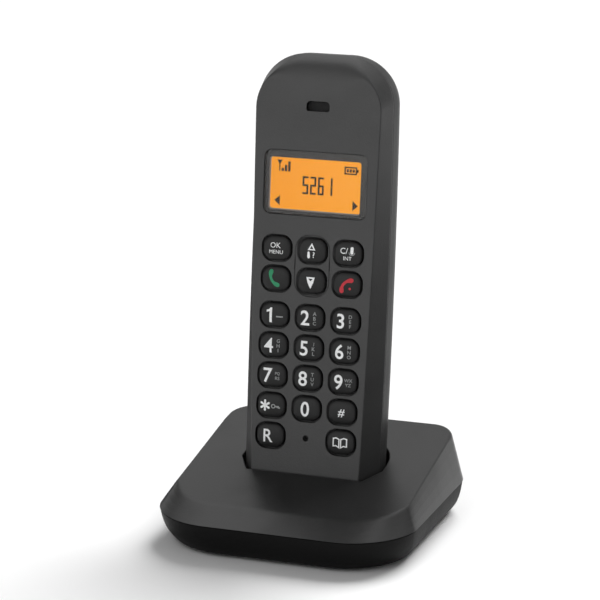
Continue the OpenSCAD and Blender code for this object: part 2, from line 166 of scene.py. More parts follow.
class TelephoneFinishSettings(bpy.types.PropertyGroup):
    housing: paint("Front cover", "Plastic of the handset's front", (0.022, 0.022, 0.022))
    rear: paint("Rear cover", "Plastic of the handset's back", (0.021, 0.021, 0.021))
    base: paint("Base top", "Plastic of the base's top", (0.014, 0.014, 0.014))
    lower: paint("Base bottom", "Plastic of the base's underside", (0.005, 0.005, 0.005))
    keys: paint("Keys", "Plastic of the keys", (0.009, 0.009, 0.009))
    legend: paint("Legends", "Ink of the key legends", (0.96, 0.97, 0.97))
    talk: paint("Talk key", "Ink of the call key", (0.03, 0.27, 0.125))
    end: paint("End key", "Ink of the hang-up key", (0.56, 0.035, 0.05))
    glow: paint("Backlight", "Light of the display", (0.9, 0.33, 0.012))


def handset_size(name):
    """One of the handset's settings in millimetres."""
    return getattr(bpy.context.scene.telephone_handset, name) / MM


def base_size(name):
    """One of the base's settings in millimetres."""
    return getattr(bpy.context.scene.telephone_base, name) / MM


def colour_of(name):
    """One of the finishes' colours."""
    return tuple(getattr(bpy.context.scene.telephone_finish, name))


# ---- Shader maths ----

class Signal:
    """One output of a shader node. Arithmetic on it adds Math nodes."""

    def __init__(self, recipe, socket):
        self.recipe = recipe
        self.socket = socket

    def maths(self, operation, *values):
        return self.recipe.node("Math", {"operation": operation}, dict(enumerate(values)))

    def __add__(self, other):
        return self.maths("ADD", self, other)

    def __sub__(self, other):
        return self.maths("SUBTRACT", self, other)

    def __rsub__(self, other):
        return self.maths("SUBTRACT", other, self)

    def __mul__(self, other):
        return self.maths("MULTIPLY", self, other)

    def __gt__(self, other):
        return self.maths("GREATER_THAN", self, other)

    __radd__ = __add__
    __rmul__ = __mul__


class Recipe:
    """A node tree under construction."""

    def __init__(self, tree):
        self.tree = tree
        self.tree.nodes.clear()

    def node(self, kind, settings=None, sockets=None, output=0):
        """Adds a node, sets it up, feeds its sockets and gives one of its outputs."""
        made = self.tree.nodes.new("ShaderNode" + kind)
        for name, value in (settings or {}).items():
            setattr(made, name, value)
        for name, value in (sockets or {}).items():
            if isinstance(value, Signal):
                self.tree.links.new(value.socket, made.inputs[name])
            else:
                made.inputs[name].default_value = value
        return Signal(self, made.outputs[output])

    def place(self):
        """Where a point lies on the piece, in metres."""
        return self.node("TexCoord", output=3)

    def noise(self, scale, detail=3, stretch=(1, 1, 1)):
        """Soft noise in the piece's own metres, from 0 to 1."""
        spot = self.node("Mapping", {}, {"Vector": self.place(), "Scale": stretch})
        return self.node("TexNoise", {}, {"Vector": spot, "Scale": scale, "Detail": detail})

    def cells(self, scale, feature="F1"):
        """Distance to the nearest of many scattered points."""
        return self.node(
            "TexVoronoi", {"feature": feature}, {"Vector": self.place(), "Scale": scale})

    def spread(self, value, low, high):
        """Fits a range of values to 0 to 1, and stops at its ends."""
        return self.node("MapRange", {}, {"Value": value, "From Min": low, "From Max": high})

    def between(self, share, first, second):
        """A colour between two others."""
        return self.node(
            "Mix", {"data_type": "RGBA"}, {0: share, 6: first, 7: second}, output=2)

    def relief(self, height, depth):
        """A surface normal that follows a height; depth in millimetres."""
        return self.node("Bump", {}, {
            "Height": height, "Distance": depth * MM, "Strength": 1.0})

    def surface(self, **sockets):
        """Ends the tree in a plain surface; a socket's name has _ for each space."""
        named = {name.replace("_", " "): value for name, value in sockets.items()}
        self.show(self.node("BsdfPrincipled", {}, named))

    def show(self, shader, kind="Material"):
        end = self.tree.nodes.new("ShaderNodeOutput" + kind)
        self.tree.links.new(shader.socket, end.inputs["Surface"])


FINISHES = {}


def finish(name):
    """Starts a material and gives its node tree, still empty."""
    made = bpy.data.materials.new(name)
    made.use_nodes = True
    FINISHES[name] = made
    return Recipe(made.node_tree)


def tint(colour, factor):
    """A lighter or darker shade of a colour."""
    return tuple(min(1, c * factor) for c in colour[:3]) + (1,)


def moulded(name, colour, gloss, grain, depth, shine=0.4):
    """Moulded plastic: fine spark-eroded grain, faint flow marks and handling smears."""
    mix = finish(name)
    flow = mix.noise(38, 2, (1, 1, 2.4))
    smear = mix.spread(mix.noise(85, 4, (1, 1, 0.5)), 0.45, 0.75)
    dots = mix.noise(grain, 2)
    pits = mix.cells(grain * 0.45)
    mottled = mix.between(flow, tint(colour, 0.7), tint(colour, 1.3))
    mix.surface(
        Base_Color=mix.between(mix.spread(dots, 0.35, 0.7) * 0.25, mottled, tint(colour, 1.5)),
        Roughness=gloss + smear * 0.07 + dots * 0.06 - 0.05,
        Specular_IOR_Level=shine,
        Normal=mix.relief(dots + pits * 0.5, depth))


def inked(name, colour):
    """Printed ink with a slightly uneven cover."""
    mix = finish(name)
    thin = mix.spread(mix.noise(3000, 3), 0.35, 0.65)
    mix.surface(
        Base_Color=mix.between(thin, tint(colour, 0.86), colour),
        Roughness=0.45 + thin * 0.1,
        Specular_IOR_Level=0.3,
        Normal=mix.relief(thin, 0.01))


def metal(name, colour, gloss, brushed=(1, 1, 1)):
    """Plated or plain metal with a drawn grain and dull spots."""
    mix = finish(name)
    grain = mix.noise(1800, 3, brushed)
    dull = mix.spread(mix.noise(260, 4), 0.4, 0.7)
    mix.surface(
        Base_Color=mix.between(dull, colour, tint(colour, 0.72)),
        Metallic=1.0,
        Roughness=gloss + dull * 0.14 + grain * 0.08,
        Normal=mix.relief(grain, 0.02))


def circuit_finish():
    """Solder mask over copper tracks, with tinned pads."""
    mix = finish("circuit")
    tracks = mix.spread(mix.cells(420, "DISTANCE_TO_EDGE"), 0.03, 0.06)
    pads = mix.cells(700) > 0.78
    mask = mix.between(tracks, (0.03, 0.2, 0.09, 1), (0.012, 0.1, 0.045, 1))
    mix.surface(
        Base_Color=mix.between(pads, mask, (0.55, 0.5, 0.4, 1)),
        Metallic=pads * 0.8,
        Roughness=0.42 - pads * 0.1,
        Normal=mix.relief(tracks, 0.04))


def woven_finish():
    """Acoustic cloth behind the earpiece slot: black cloth, its threads made darker still as
    painted shade of the slot's recess.
    """
    mix = finish("mesh_cloth")
    warp, weft = (
        mix.node("TexWave", {"bands_direction": way}, {
            "Vector": mix.place(), "Scale": 900.0, "Distortion": 0.4})
        for way in "XZ")
    thread = mix.spread(warp * weft, 0.05, 0.5)
    mix.surface(
        # Near-black threads: the cloth's own black, darkened further as painted shade inside the
        # slot
        Base_Color=mix.between(thread, (0.0005, 0.0005, 0.0005, 1), (0.006, 0.006, 0.006, 1)),
        Roughness=0.75,
        Normal=mix.relief(thread, 0.1))


def sleeve_finish():
    """Printed sleeve of a cell: a coloured band, a pale band and shrink wrinkles."""
    mix = finish("cell_sleeve")
    along = mix.node("SeparateXYZ", {}, {0: mix.place()}, output=2)
    low, high = BOX["battery_cell_left"]
    share = mix.spread(along, low.z, high.z)
    band = mix.spread(share, 0.66, 0.67)
    wrinkle = mix.noise(900, 3, (1, 1, 0.2))
    mix.surface(
        Base_Color=mix.between(band, (0.02, 0.2, 0.1, 1), (0.6, 0.62, 0.6, 1)),
        Roughness=0.3 + wrinkle * 0.2,
        Normal=mix.relief(wrinkle, 0.06))


def backlight_finish():
    """Lit display film: warm light that falls off a little towards the ends."""
    mix = finish("backlight")
    glow = colour_of("glow")
    across = mix.node("SeparateXYZ", {}, {0: mix.place()}, output=0)
    fall = mix.spread(across, -0.016, 0.016)
    cloud = mix.spread(mix.noise(70, 2), 0.3, 0.7)
    paler = (glow[0], glow[1] * 1.07, glow[2] * 2, 1)
    film = mix.between(fall, tint(glow, 0.95), paler)
    mix.surface(
        Base_Color=(0.12, 0.04, 0.01, 1),
        Roughness=0.5,
        Specular_IOR_Level=0.1,
        Emission_Color=mix.between(cloud * 0.3, film, tint(glow, 1.08)),
        Emission_Strength=1.0,
        Normal=mix.relief(mix.noise(4000, 2), 0.004))


def pane_finish():
    """Clear acrylic: it lets the display through and mirrors the room at a slant."""
    mix = finish("clear_pane")
    clear = mix.node("BsdfTransparent", {}, {"Color": (0.97, 0.97, 0.97, 1)})
    ripple = mix.relief(mix.noise(120, 2), 0.02)
    mirror = mix.node("BsdfGlossy", {}, {"Roughness": 0.12, "Normal": ripple})
    share = mix.node("Fresnel", {}, {"IOR": 1.24})
    mix.show(mix.node("MixShader", {}, {0: share, 1: clear, 2: mirror}))


def plastics_and_inks():
    """Finishes of what is moulded or printed: colour, gloss, grain, its depth and the shine."""
    moulded("housing", colour_of("housing"), 0.44, 2600, 0.035, 0.45)
    moulded("rear_housing", colour_of("rear"), 0.44, 2200, 0.04, 0.12)
    moulded("base_housing", colour_of("base"), 0.32, 3000, 0.02, 0.32)
    moulded("lower_housing", colour_of("lower"), 0.5, 2400, 0.04, 0.07)
    moulded("key_cap", colour_of("keys"), 0.4, 3400, 0.02, 0.22)
    moulded("display_mask", tint(colour_of("housing"), 2.3), 0.5, 3000, 0.02, 0.3)
    moulded("display_margin", (0.42, 0.41, 0.4), 0.35, 2600, 0.02)
    moulded("capsule", (0.012, 0.012, 0.012), 0.5, 2600, 0.04)
    moulded("white_moulding", (0.7, 0.69, 0.65), 0.4, 2600, 0.03)
    moulded("silicone_mat", (0.09, 0.09, 0.095), 0.6, 2000, 0.03, 0.3)
    moulded("socket_moulding", (0.02, 0.02, 0.021), 0.38, 3000, 0.03)
    moulded("rubber", (0.015, 0.015, 0.015), 0.78, 1500, 0.08, 0.2)
    for name in ("legend", "talk", "end"):
        inked(name + "_ink", colour_of(name))
    inked("small_ink", (0.33, 0.34, 0.34, 1))
    inked("segment_ink", (0.03, 0.014, 0.006, 1))


def metals_and_cloth():
    """Finishes of the pieces inside and behind the openings."""
    metal("tin_plate", (0.62, 0.62, 0.64, 1), 0.28)
    metal("gold_contact", (0.83, 0.6, 0.25, 1), 0.2)
    metal("spring_steel", (0.55, 0.55, 0.56, 1), 0.25, (1, 1, 6))
    circuit_finish()
    woven_finish()
    sleeve_finish()
    backlight_finish()
    pane_finish()


class PHONE_OT_finishes(bpy.types.Operator):
    """Makes every material of the telephone"""
    bl_idname = "telephone.finishes"
    bl_label = "Finishes"

    def execute(self, context):
        plastics_and_inks()
        metals_and_cloth()
        return {"FINISHED"}


# ---- Shapes ----

LIFT = 1e-4  # extra depth of each ring of a rim, so that no two of them meet


def arc(centre, radius, start, stop, steps):
    """Points on an arc, as (across, along) pairs; angles in degrees."""
    turns = [math.radians(start + (stop - start) * k / steps) for k in range(steps + 1)]
    return [(centre[0] + radius * math.cos(a), centre[1] + radius * math.sin(a)) for a in turns]


def mirrored(right, shared=0):
    """A right half and its left half, without the points that both share at each end."""
    return right + [(-x, y) for x, y in reversed(right[shared:len(right) - shared])]


def quarter_round(size, steps):
    """Section of a rounded edge, as pairs of what is left of its width and its depth."""
    turns = [math.radians(90 * k / steps) for k in range(steps + 1)]
    return [(size * (1 - math.sin(a)), size * (1 - math.cos(a))) for a in turns]


def eased(points, radii, steps=4, most=0.48):
    """The line through the points, with a short curve in place of each corner."""
    made = [points[0]]
    for before, corner, after, radius in zip(points, points[1:], points[2:], radii):
        back, ahead = before - corner, after - corner
        start = corner + back.normalized() * min(radius, back.length * most)
        stop = corner + ahead.normalized() * min(radius, ahead.length * most)
        for k in range(steps + 1):
            t = k / steps
            made.append(start * (1 - t) ** 2 + corner * 2 * t * (1 - t) + stop * t * t)
    made.append(points[-1])
    return made


def skin(ribs):
    """Closed solid from ribs side by side in a ring, with a cap at each end of them."""
    count, size = len(ribs), len(ribs[0])
    faces = []
    for i in range(count):
        j = (i + 1) % count
        for k in range(size - 1):
            faces.append((i * size + k, j * size + k, j * size + k + 1, i * size + k + 1))
    faces.append([i * size for i in range(count)])
    faces.append([i * size + size - 1 for i in reversed(range(count))])
    return [point for rib in ribs for point in rib], faces


def stacked(rings):
    """Closed solid through rings that all have the same number of points."""
    return skin([list(rib) for rib in zip(*rings)])


def looped(rings):
    """Ring-shaped solid, whose last ring of points meets its first."""
    turns, count = len(rings), len(rings[0])
    faces = [
        (r * count + i, r * count + (i + 1) % count,
         (r + 1) % turns * count + (i + 1) % count, (r + 1) % turns * count + i)
        for r in range(turns) for i in range(count)]
    return [point for ring in rings for point in ring], faces


def joined(solids):
    """Several solids as one list of points and one of faces."""
    points, faces = [], []
    for more_points, more_faces in solids:
        first = len(points)
        points.extend(more_points)
        faces.extend([[first + k for k in face] for face in more_faces])
    return points, faces


def placed(name, data):
    """A new object in the scene."""
    made = bpy.data.objects.new(name, data)
    bpy.context.scene.collection.objects.link(made)
    return made


def piece(name, points, faces):
    """A new mesh object with its faces outwards."""
    mesh = bpy.data.meshes.new(name)
    mesh.from_pydata([tuple(p) for p in points], [], faces)
    work = bmesh.new()
    work.from_mesh(mesh)
    bmesh.ops.remove_doubles(work, verts=work.verts, dist=1e-5)
    bmesh.ops.recalc_face_normals(work, faces=work.faces)
    work.to_mesh(mesh)
    work.free()
    return placed(name, mesh)


def final_mesh(made):
    """The mesh that an object shows, with its modifiers or its text worked out."""
    bpy.context.view_layer.update()
    graph = bpy.context.evaluated_depsgraph_get()
    return bpy.data.meshes.new_from_object(made.evaluated_get(graph))


def settle(made):
    """Makes a piece's modifiers part of its mesh."""
    mesh = final_mesh(made)
    made.modifiers.clear()
    made.data = mesh


def combine(made, solids, operation="DIFFERENCE"):
    """Cuts solids out of a piece, or adds them to it."""
    tool = piece("tool", *joined(solids))
    change = made.modifiers.new("combine", "BOOLEAN")
    change.operation = operation
    change.solver = "EXACT"
    change.object = tool
    settle(made)
    bpy.data.objects.remove(tool)


def fit_out(made, matrix, body, look, slot=None, replaces=(), fold=35):
    """Puts a piece in place, gives it its finish and lets it ride on its body."""
    made.data.transform(matrix)
    made.data.materials.clear()
    made.data.materials.append(FINISHES[look])
    made.data.shade_smooth()
    made.data.set_sharp_from_angle(angle=math.radians(fold))
    weights = made.modifiers.new("weights", "WEIGHTED_NORMAL")
    weights.keep_sharp = True
    weights.weight = 60
    settle(made)
    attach(made, body)
    if replaces:
        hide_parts(*replaces)


def round_rect(width, height, radius, steps=8, top_radius=None):
    """Rounded rectangle round the origin, as (x, z) points."""
    top_radius = top_radius or radius
    a, b = width / 2, height / 2
    lower = arc((a - radius, radius - b), radius, -90, 0, steps)
    upper = arc((a - top_radius, b - top_radius), top_radius, 0, 90, steps)
    return mirrored(lower + upper)


def bar(x0, z0, x1, z1):
    """Plain rectangle, as (x, z) points."""
    return [(x0, z0), (x1, z0), (x1, z1), (x0, z1)]


def at(points, y, x=0, z=0):
    """A flat outline at a depth in the handset's frame."""
    return [Vector((px + x, y, pz + z)) for px, pz in points]


def plate_rings(width, height, radius, x, z, steps, **corners):
    """Rings of a rounded plate, each at a depth and grown by some width."""
    return [
        at(round_rect(width + 2 * out, height + 2 * out, radius + out, **corners), y, x, z)
        for out, y in steps]


def punch(width, height, radius, x, z, rim, depth, **corners):
    """Tool for a hole in the face whose rim is rounded over."""
    steps = [(out, y + LIFT * k) for k, (out, y) in enumerate(quarter_round(rim, 4))]
    return stacked(plate_rings(
        width, height, radius, x, z, [(rim, -2), *steps, (0, depth)], **corners))


def slab(width, height, radius, x, z, front, back, edge):
    """Rounded plate with eased edges, standing in the handset's frame."""
    steps = quarter_round(edge, 3)
    return stacked(plate_rings(
        width, height, radius, x, z,
        [(-out, front + y) for out, y in steps] + [(-y, back - out) for out, y in steps]))


def level(points, z):
    """A flat outline at a height above the table."""
    return [Vector((x, y, z)) for x, y in points]


def box(low, high):
    """A block as a solid, for cutting or joining."""
    (x0, y0, z0), (x1, y1, z1) = low, high
    return stacked([level(bar(x0, y0, x1, y1), z) for z in (z0, z1)])


def turned(profile, origin, axis, steps=40):
    """Closed solid of revolution: profile of (radius, distance along the axis)."""
    axis = Vector(axis).normalized()
    side = axis.orthogonal().normalized()
    other = axis.cross(side)
    ribs = []
    for k in range(steps):
        a = 2 * math.pi * k / steps
        out = side * math.cos(a) + other * math.sin(a)
        ribs.append([Vector(origin) + out * r + axis * d for r, d in profile])
    return skin(ribs)


def shafts(profile, places, steps=40):
    """Round solids from front to back, each round an (x, z) place."""
    return [turned(profile, (x, 0, z), (0, 1, 0), steps) for x, z in places]


# ---- Handset ----

SPLIT = 8            # depth at which the covers meet
SEAM_GAP = 0.06      # half of the fine gap between them
FACET = 7.5          # depth of the sloping facet beside the face
WALL = 1.8
BODY_LENGTH = 146
BODY_DEPTH = 24
SIDE_END = 11.5      # depth at which the sides turn into the rounded back
TOP_RADIUS = 15.8
FACE_RADIUS = 14
FACE_DROP = 3.4      # from the top to the top edge of the face
KEY_HOLE = (10, 8.5, 3.5)      # width, height and corner radius
KEY_CAP = (9.3, 7.8, 3.2)
KEY_FLANGE = (10.6, 8.9, 3.5)
EAR_SLOT = (7.3, 2.8, 0.5)
DOOR = (28.6, 62.6, 2.8)
DOOR_SEAT = (29, 63, 3)
WINDOW = (34.4, 20.4)
PICTURE = (30.5, 16.5)
PICTURE_SHIFT = (-0.5, -0.45)
DISPLAY_Z = 105.2
EAR_Z = 129.9
RINGER_Z = 110
DOOR_Z = 65.5
HANDSET_SCREWS = [(-12, 9.5), (12, 9.5), (-11.5, 123.5), (11.5, 123.5)]
CONTACTS_X = (-8, 8)


def handset_outline(foot_half, shoulder_half, bulge, low, top, radius):
    """Outline seen from the front, from the middle of the foot round the right."""
    corner, steps = 2, 12
    rise = top - radius - low
    right = [(x, low) for x in (0, 8)]
    right += arc((foot_half - corner, low + corner), corner, -90, 0, 5)
    for k in range(1, steps):
        t = k / steps
        half = foot_half + (shoulder_half - foot_half) * t + bulge * 4 * t * (1 - t)
        right.append((half, low + corner + (rise - corner) * t))
    right += arc((shoulder_half - radius, top - radius), radius, 0, 90, 26)
    flat = shoulder_half - radius
    right += [(flat * (1 - k / 4), top) for k in range(1, 5)]
    return mirrored(right, 1)


def side_outline(inset, foot=0.0):
    """Outline of the sides, moved inwards."""
    half = handset_size("width") / 2
    return handset_outline(
        half - 0.5 - inset, half - 0.7 - inset, 0.6, foot,
        BODY_LENGTH - inset, TOP_RADIUS - inset * 0.9)


def face_outline(inset, foot=0.0):
    """Outline of the flat face, moved inwards."""
    return handset_outline(
        handset_size("face_foot") / 2 - inset, handset_size("face_top") / 2 - inset, 0.3, foot,
        BODY_LENGTH - FACE_DROP - inset, FACE_RADIUS - inset)


def brow(x, z):
    """1 over the middle of the top, 0 at the shoulders and below."""
    reach, fade, drop = 18.5, 13, 9
    if z < BODY_LENGTH - drop:
        return 0
    t = max(0, min(1, (reach - abs(x)) / fade))
    return t * t * (3 - 2 * t)


def front_ribs():
    """Front cover: outer skin from the split to the face, then the inner skin."""
    crisp, soft = handset_size("crease"), handset_size("top_crease")
    split = at(side_outline(0.04), SPLIT - SEAM_GAP)
    facet = at(side_outline(0), FACET)
    face = at(face_outline(0), 0)
    flat = at(face_outline(1.0), 0)
    inner = [
        at(side_outline(WALL, WALL), SPLIT - SEAM_GAP), at(side_outline(WALL, WALL), FACET),
        at(face_outline(WALL * 0.8, WALL), WALL)]
    ribs = []
    for i, edge in enumerate(face):
        over = brow(edge.x, edge.z)
        radius = crisp + (soft - crisp) * over
        inward = flat[i] + Vector((0, 0, -over * soft * 1.3))
        middle = facet[i].lerp(edge, 0.5 - 0.46 * over)
        ribs.append(
            [ring[i] for ring in reversed(inner)]
            + eased([split[i] + (inner[0][i] - split[i]) * 0.3, split[i], facet[i],
                     middle, edge, inward], [0.2, 0.3, 0.01, radius], 6, 0.9))
    return ribs


def rear_ribs():
    """Rear cover: outer skin from the split over the rounded back, then the inner skin."""
    def ring(angle, depth, wall):
        turn = math.radians(angle)
        shrink = 1 - math.cos(turn)
        y = SIDE_END + (depth - SIDE_END) * math.sin(turn)
        return at(side_outline(wall + 9 * shrink, wall + 4 * shrink), y)

    angles = [k * 90 / 16 for k in range(17)]
    outer = [ring(a, BODY_DEPTH, 0) for a in angles]
    inner = [ring(a, BODY_DEPTH - WALL, WALL) for a in angles]
    split = at(side_outline(0.04), SPLIT + SEAM_GAP)
    lip = at(side_outline(WALL, WALL), SPLIT + SEAM_GAP)
    last = at(side_outline(10, 4.8), BODY_DEPTH)
    ribs = []
    for i in range(len(split)):
        start = eased(
            [split[i] + (lip[i] - split[i]) * 0.3, split[i], outer[0][i]], [0.2])
        ribs.append(
            [r[i] for r in reversed(inner)] + [lip[i]]
            + start + [r[i] for r in outer[1:]] + [last[i]])
    return ribs


def racetrack():
    """Tool for the fine groove round the two middle keys that scroll."""
    low, high = STAND.middle("key_down").z, STAND.middle("key_up").z
    wide, tall, radius = 11.9, high - low + 10.2, 5
    return looped(plate_rings(
        wide, tall, radius, 0, (low + high) / 2,
        [(0, -1), (0, 0.28), (-0.3, 0.28), (-0.3, -1)]))


class PHONE_OT_front_cover(bpy.types.Operator):
    """Builds the handset's front cover with its key holes, display recess and slots"""
    bl_idname = "telephone.front_cover"
    bl_label = "Front cover"

    def execute(self, context):
        rim = handset_size("rim")
        cover = piece("front_cover_shell", *skin(front_ribs()))
        spots = [STAND.middle(body) for body in KEY_BODIES]
        holes = [punch(*KEY_HOLE, spot.x, spot.z, rim, WALL + 2) for spot in spots]
        holes.append(punch(*EAR_SLOT, 0, EAR_Z, 0.22, WALL + 2, top_radius=1.4))
        holes += shafts(
            [(1.2, -1), (1.0, 0), (0.86, 0.1), (0.8, 0.3), (0.8, WALL + 2)],
            [(0, STAND.middle("microphone").z)])
        holes.append(punch(
            WINDOW[0] + 0.1, WINDOW[1] + 0.1, 2.5, 0, DISPLAY_Z, 0.16, 1.4))
        combine(cover, holes)
        combine(cover, [stacked(plate_rings(
            PICTURE[0] + 2.4, PICTURE[1] + 2.4, 1.4, 0, DISPLAY_Z, [(0, 1), (0, WALL + 2)]))])
        combine(cover, [racetrack()])
        fit_out(cover, STAND.matrix, "handset", "housing", "housing_plastic", ["front_cover"])
        return {"FINISHED"}


class PHONE_OT_rear_cover(bpy.types.Operator):
    """Builds the handset's rear cover with its battery bay, screw wells and sound holes"""
    bl_idname = "telephone.rear_cover"
    bl_label = "Rear cover"

    def execute(self, context):
        cover = piece("rear_cover_shell", *skin(rear_ribs()))
        combine(cover, [box((-13.2, 9.2, 36.9), (13.2, 22.5, 89.6))], "UNION")
        combine(cover, [box((-15.5, 21.1, 33), (15.5, 23.4, 98))], "UNION")
        combine(cover, shafts([(3.2, 9), (3.2, 22.4)], HANDSET_SCREWS), "UNION")
        combine(cover, [stacked(plate_rings(*DOOR_SEAT, 0, DOOR_Z, [(0, 22.5), (0, 26)]))])
        pads = [box((x - 2.05, 9.95, -1), (x + 2.05, 15.05, WALL + 1)) for x in CONTACTS_X]
        wells = shafts([(2.4, 16), (2.4, 23.4), (2.9, 24.4)], HANDSET_SCREWS)
        turns = [math.radians(60 * k) for k in range(6)]
        sound = [(0, RINGER_Z)] + [
            (3.6 * math.sin(a), RINGER_Z + 3.6 * math.cos(a)) for a in turns]
        vents = shafts([(0.9, 20), (0.9, 23.7), (1.3, 24.3)], sound, 24)
        combine(cover, pads + wells + vents + [box((-11.6, 10.8, 38.5), (11.6, 26, 88))])
        fit_out(cover, STAND.matrix, "handset", "rear_housing", "rear_plastic", ["rear_cover"])
        return {"FINISHED"}


class PHONE_OT_battery_door(bpy.types.Operator):
    """Builds the battery door with its thumb grooves and locating ribs"""
    bl_idname = "telephone.battery_door"
    bl_label = "Battery door"

    def execute(self, context):
        door = piece("battery_door_panel", *slab(*DOOR, 0, DOOR_Z, 22.52, BODY_DEPTH, 0.3))
        combine(door, [
            stacked([
                at(bar(-half, -tall, half, tall), y, 0, DOOR_Z - 24 + 2 * k)
                for half, tall, y in ((6, 0.55, 24.1), (5.58, 0.2, 23.55))])
            for k in range(5)])
        combine(door, [
            box((x - 1.5, 21.3, 86.7), (x + 1.5, 22.7, 87.7)) for x in (-7, 7)], "UNION")
        fit_out(door, STAND.matrix, "battery_door", "rear_housing", "rear_plastic",
                ["battery_door"])
        return {"FINISHED"}


# ---- Display ----

SEGMENTS = {"1": "bc", "2": "abged", "5": "afgcd", "6": "afgedc"}


def segment_bars(digit, x, z, wide, tall):
    """The lit bars of one seven-segment digit, as outlines; x and z are its lower left."""
    t, gap = 0.6, 0.06
    half = tall / 2
    places = {
        "a": (gap, tall - t, wide - gap, tall), "d": (gap, 0, wide - gap, t),
        "g": (gap, half - t / 2, wide - gap, half + t / 2),
        "f": (0, half + gap, t, tall - gap), "b": (wide - t, half + gap, wide, tall - gap),
        "e": (0, gap, t, half - gap), "c": (wide - t, gap, wide, half - gap)}
    lit = [places[name] for name in SEGMENTS[digit]]
    return [bar(x + x0, z + z0, x + x1, z + z1) for x0, z0, x1, z1 in lit]


def screen_marks():
    """Digits, signal bars, battery and arrows, as outlines round the display's middle."""
    marks = []
    for digit, x in (("5", -4.45), ("2", -1.85), ("6", 0.75), ("1", 3.65)):
        marks += segment_bars(digit, x, -3.1, 2.0, 5.7)
    for k, tall in enumerate((1.0, 2.0, 3.2)):
        marks.append(bar(1.1 * k - 11.7, 3.75, 1.1 * k - 10.9, 3.75 + tall))
    mast = bar(-12.5, 3.75, -12.15, 6.85)
    aerial = [(-13.2, 7.35), (-11.45, 7.35), (-12.33, 5.75)]
    battery = [
        bar(9.45, 4.1, 13.65, 4.55), bar(9.45, 6.15, 13.65, 6.6), bar(9.45, 4.55, 9.9, 6.15),
        bar(13.2, 4.55, 13.65, 6.15), bar(13.65, 4.9, 14.15, 5.8)]
    charge = [bar(10.2 + k, 4.85, 10.9 + k, 5.85) for k in range(3)]
    arrows = [
        [(-13.75, -5.65), (-11.95, -7.25), (-11.95, -4.05)],
        [(14.35, -5.75), (12.55, -7.35), (12.55, -4.15)]]
    return [*marks, mast, aerial, *battery, *charge, *arrows]


def frame_plate(outer, inner, front, back):
    """A plate with a window in it: outlines have the same number of points."""
    return looped([at(outline, y, 0, DISPLAY_Z) for outline, y in (
        (outer, front), (inner, front), (inner, back), (outer, back))])


class PHONE_OT_display(bpy.types.Operator):
    """Builds the clear window, its dark mask, the lit film and what the display shows"""
    bl_idname = "telephone.display"
    bl_label = "Display"

    def execute(self, context):
        def put(name, solid, look, *kind):
            fit_out(piece(name, *solid), STAND.matrix, "handset", look, *kind)

        (wide, tall), (dx, dz) = PICTURE, PICTURE_SHIFT
        put("display_pane", slab(*WINDOW, 2.45, 0, DISPLAY_Z, 0.1, 1.3, 0.12),
            "clear_pane", "window", ["display_window"])
        opening = round_rect(wide + 0.4, tall + 0.4, 0.9)
        put("display_mask", frame_plate(
            round_rect(WINDOW[0] - 0.1, WINDOW[1] - 0.1, 2.4),
            [(x + dx - 0.2, z + dz - 0.2) for x, z in opening], 1.32, 1.42), "display_mask")
        put("display_margin", frame_plate(
            round_rect(34.4, 20.8, 0.8),
            [(x + dx, z + dz) for x, z in round_rect(wide, tall, 0.9)], 2.0, 2.2),
            "display_margin")
        put("display_film", slab(
            wide + 0.2, tall + 0.2, 0.6, dx, DISPLAY_Z + dz, 2.06, 3.2, 0.05),
            "backlight", "display", ["display_panel"])
        put("display_segments", joined([
            stacked([at(outline, y, dx, DISPLAY_Z + dz) for y in (1.98, 2.1)])
            for outline in screen_marks()]), "segment_ink")
        return {"FINISHED"}


# ---- Keys ----

def share_out(x, z):
    """How far out a point of a key lies: 0 in the middle, 1 on its outline."""
    a, b, r = KEY_CAP[0] / 2, KEY_CAP[1] / 2, KEY_CAP[2]

    def outside(s):
        px, pz = abs(x) / s - (a - r), abs(z) / s - (b - r)
        return math.hypot(max(px, 0), max(pz, 0)) + min(max(px, pz), 0) > r

    low, high = 1e-4, 2
    for _ in range(22):
        middle = (low + high) / 2
        low, high = (middle, high) if outside(middle) else (low, middle)
    return high


def pillow(s, edge=0.35, power=2.35):
    """Depth of a key's crowned top; negative stands out of the face."""
    crown = handset_size("key_crown")
    s = min(s, 1)
    return edge - (edge + crown) * (1 - s ** power) ** (1 / power)


def key_solid():
    """One key cap round the origin: crowned top, skirt and hidden flange."""
    outline = round_rect(*KEY_CAP, 9)
    rings = []
    for k in range(1, 13):
        s = math.sin(math.radians(90 * k / 12))
        rings.append([Vector((x * s, pillow(s), z * s)) for x, z in outline])
    flange = round_rect(*KEY_FLANGE, 9)
    return stacked([*rings, at(outline, 1.95), at(flange, 1.95), at(flange, 2.5)])


def flat_mesh(data):
    """Filled shape of a flat curve or text: its points and faces."""
    holder = placed("flat", data)
    mesh = final_mesh(holder)
    points = [(v.co.x, v.co.y) for v in mesh.vertices]
    faces = [list(p.vertices) for p in mesh.polygons]
    bpy.data.objects.remove(holder)
    bpy.data.meshes.remove(mesh)
    return points, faces


def letters(text, tall, x, z, bold=0.0, squeeze=1.0, slant=0.0):
    """Generic lettering of a set height, round a middle."""
    data = bpy.data.curves.new("letters", "FONT")
    data.body = text
    data.resolution_u = 4
    data.offset = bold
    data.shear = slant
    points, faces = flat_mesh(data)
    lows = [min(p[k] for p in points) for k in (0, 1)]
    highs = [max(p[k] for p in points) for k in (0, 1)]
    scale = tall / (highs[1] - lows[1])
    cx, cz = (lows[0] + highs[0]) / 2, (lows[1] + highs[1]) / 2
    return [(x + (px - cx) * scale * squeeze, z + (pz - cz) * scale) for px, pz in points], faces


def drawn(*loops):
    """Filled shape inside closed loops; a loop inside another is a hole."""
    data = bpy.data.curves.new("drawn", "CURVE")
    data.dimensions = "2D"
    data.fill_mode = "BOTH"
    for loop in loops:
        line = data.splines.new("POLY")
        line.points.add(len(loop) - 1)
        for point, (x, z) in zip(line.points, loop):
            point.co = (x, z, 0, 1)
        line.use_cyclic_u = True
    return flat_mesh(data)


